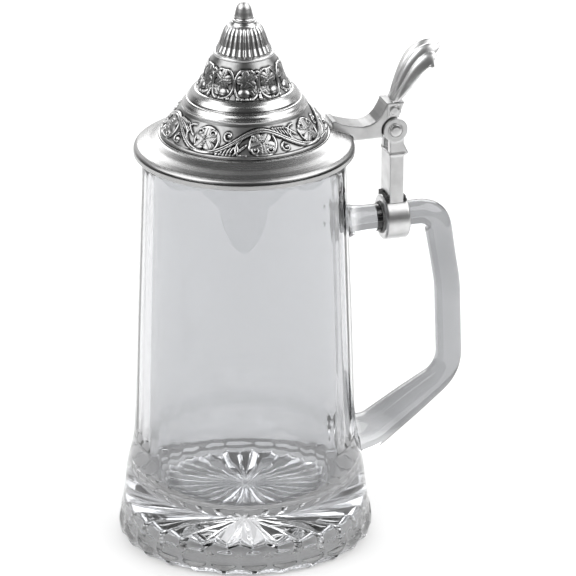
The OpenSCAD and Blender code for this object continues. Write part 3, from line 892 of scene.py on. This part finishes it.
def lift_mesh():
    """The thumblift: a lobed shell that leaves the strap upright and curls over at its tip.

    u runs from the root to the tip, v from side to side."""
    rows, cols = 120, LOBES * 24
    u = np.linspace(0, 1, rows + 1)
    mid = lift_heading((u[:-1] + u[1:]) / 2)
    curve = np.vstack([[0, 0], np.cumsum(np.stack([np.cos(mid), np.sin(mid)], -1), 0) / rows])
    head = lift_heading(u)[:, None]
    v = np.linspace(-1, 1, cols + 1)[None, :]
    lobe = np.abs(np.sin(np.pi / 2 * LOBES * (v + 1)))
    u = u[:, None]
    length = LIFT_LEN * (1 + 0.03 * (lobe - 0.5) * u ** 3)
    half = LIFT_ROOT_HALF + (LIFT_HALF - LIFT_ROOT_HALF) * np.sin(np.pi / 2 * np.minimum(1, u * 1.15))
    groove = LIFT_GROOVE * (1 - lobe ** 0.8) * np.minimum(1, 4 * u)
    thick = LIFT_THICK - 0.7 * v * v - 0.5 * u
    faces = []
    for sink in (groove, thick + 0.35 * groove):
        drop = LIFT_DROOP * u ** 0.53 * v * v + sink
        x = LIFT_ROOT[0] + curve[:, :1] * length + drop * np.sin(head)
        z = LIFT_ROOT[1] + curve[:, 1:] * length - drop * np.cos(head)
        faces.append(np.stack([x, half * v, z], -1))
    top, under = faces
    mesh = grid_mesh("lift", np.concatenate([top, under[:, ::-1]], 1))
    bm = bmesh.new()
    bm.from_mesh(mesh)
    rim = [e for e in bm.edges if e.is_boundary]
    bmesh.ops.holes_fill(bm, edges=rim, sides=0)
    bmesh.ops.triangulate(bm, faces=[f for f in bm.faces if len(f.verts) > 4])
    bmesh.ops.recalc_face_normals(bm, faces=bm.faces)
    bm.to_mesh(mesh)
    bm.free()
    return mesh


def build_hinge():
    """The post, its collar and solder, the strap, the lift and the heads of the pin."""
    softened("hinge_post_cast", "hinge_post", "mug", CAST)
    softened("handle_collar_cast", "handle_collar", "mug", CAST, rounds=4)
    softened("lid_strap_cast", "lid_shank", "lid", STRAP, extra=strap_details)
    softened("thumblift_cast", "thumblift", "lid", LIFT, lift_mesh(), 0.2, 3)
    for name, node in (("solder_left", "solder_lid_side"), ("solder_right", "solder_grip_side")):
        softened(name, node, "mug", DARK, voxel=0.16, rounds=2, extra=lumps)
    lathe_about_pin("pin_head_front", "pin_cap_front", -1)
    lathe_about_pin("pin_head_rear", "pin_cap_rear", 1)


def lathe_about_pin(name, node, side):
    """A peened pin head: a flat dome in a shallow ring."""
    low, high = box_mm(node)
    base = low[1] if side > 0 else high[1]
    outline = [(0, -0.02, 0), (3.3, -0.02, 0), (3.3, 0.3, 0.15), (2.95, 0.32, 0.1), (2.75, 0.06, 0.1),
               (2.6, 0.06, 0.1), (2.45, 0.45, 0.25), (1.5, 0.62, 1), (0, 0.66, 0)]
    points = revolve(refine(fillet(outline), 0.3), 72)
    x, y, z = points[..., 0] + pin[0], points[..., 1] + pin[2], points[..., 2]
    mesh = weld(grid_mesh(name, np.stack([x, base + side * z, y], -1), close_rows=True))
    finish_mesh(name, mesh, "mug", (node,), STEEL)


build_mug()
build_lid()
build_hinge()

# CAD nodes that keep their own shape
KEPT = {"collar_bedding": BEDDING, "hinge_pin": STEEL, "finial_stud": STEEL}
for node, material in KEPT.items():
    obj = frame["nodes"][node]
    obj.data.materials.clear()
    obj.data.materials.append(material)


# ------------------------------------------------------------------ stage, light and camera

VIEW_AZIMUTH = -17.0
VIEW_ELEVATION = 22.0
VIEW_DISTANCE_M = 2.2
VIEW_SIDE_M = 0.018
VIEW_HEIGHT_M = 0.1074
LENS_MM = 331.4
SENSOR_MM = 36
TABLE_HALF_M = 0.6
TABLE_NEAR_M = 0.5
TABLE_FAR_M = 1.1
LIGHTS_AIM_M = (0.01, 0, 0.12)
BACKDROP_ELEVATION = 12
# brightness of the surround, from opposite the backdrop (0) to its middle (1)
SURROUND = ((0.0, 0.05), (0.5, 0.06), (0.79, 0.10), (0.90, 1.0))


def toward(azimuth, elevation):
    """Unit vector from the stein at an azimuth measured from the front, in degrees."""
    a, e = math.radians(azimuth), math.radians(elevation)
    return Vector((math.sin(a) * math.cos(e), -math.cos(a) * math.cos(e), math.sin(e)))


def stage():
    """A pale table, a bright backdrop low behind it and a dim surround."""
    right = toward(VIEW_AZIMUTH + 90, 0)
    back = toward(VIEW_AZIMUTH + 180, 0)
    corners = [right * x + back * y
               for x, y in ((-TABLE_HALF_M, -TABLE_NEAR_M), (TABLE_HALF_M, -TABLE_NEAR_M),
                            (TABLE_HALF_M, TABLE_FAR_M), (-TABLE_HALF_M, TABLE_FAR_M))]
    mesh = bpy.data.meshes.new("floor")
    mesh.from_pydata([c[:] for c in corners], [], [(0, 1, 2, 3)])
    mesh.materials.append(FLOOR)
    floor = bpy.data.objects.new("floor", mesh)
    bpy.context.scene.collection.objects.link(floor)
    world = bpy.data.worlds.new("studio")
    bpy.context.scene.world = world
    world.use_nodes = True
    tree = world.node_tree
    direction = tree.nodes.new("ShaderNodeTexCoord")
    facing = tree.nodes.new("ShaderNodeVectorMath")
    facing.operation = "DOT_PRODUCT"
    facing.inputs[1].default_value = toward(VIEW_AZIMUTH + 180, BACKDROP_ELEVATION)
    halve = tree.nodes.new("ShaderNodeMapRange")
    halve.inputs["From Min"].default_value = -1
    ramp = tree.nodes.new("ShaderNodeValToRGB")
    while len(ramp.color_ramp.elements) < len(SURROUND):
        ramp.color_ramp.elements.new(0.5)
    for element, (place, shade) in zip(ramp.color_ramp.elements, SURROUND):
        element.position = place
        element.color = (shade, shade, shade, 1)
    tree.links.new(direction.outputs["Generated"], facing.inputs[0])
    tree.links.new(facing.outputs["Value"], halve.inputs["Value"])
    tree.links.new(halve.outputs["Result"], ramp.inputs["Fac"])
    tree.links.new(ramp.outputs["Color"], tree.nodes["Background"].inputs["Color"])


def softbox(name, azimuth, elevation, distance_m, width_m, height_m, power):
    """An area light aimed at the middle of the stein, placed by angles round it."""
    data = bpy.data.lights.new(name, "AREA")
    data.shape = "RECTANGLE"
    data.size = width_m
    data.size_y = height_m
    data.energy = power
    light = bpy.data.objects.new(name, data)
    away = toward(azimuth, elevation)
    light.location = Vector(LIGHTS_AIM_M) + away * distance_m
    light.rotation_euler = away.to_track_quat("Z", "Y").to_euler()
    bpy.context.scene.collection.objects.link(light)


def camera():
    """The camera, aimed a little beside the stein's axis, at just under half its height."""
    data = bpy.data.cameras.new("camera")
    data.sensor_width = SENSOR_MM
    data.lens = LENS_MM
    cam = bpy.data.objects.new("camera", data)
    aside = toward(VIEW_AZIMUTH + 90, 0)
    away = toward(VIEW_AZIMUTH, VIEW_ELEVATION)
    cam.location = aside * VIEW_SIDE_M + Vector((0, 0, VIEW_HEIGHT_M)) + away * VIEW_DISTANCE_M
    cam.rotation_euler = away.to_track_quat("Z", "Y").to_euler()
    bpy.context.scene.collection.objects.link(cam)
    bpy.context.scene.camera = cam


stage()
softbox("left_softbox", VIEW_AZIMUTH - 70, 44, distance_m=1.3, width_m=1.3, height_m=1.1, power=14)
softbox("right_softbox", VIEW_AZIMUTH + 82, 44, distance_m=1.3, width_m=1.4, height_m=1.1, power=14.5)
softbox("back_softbox", VIEW_AZIMUTH + 180, 33, distance_m=1.7, width_m=1.8, height_m=0.8, power=17)
camera()
view = bpy.context.scene.view_settings
view.view_transform = "Standard"
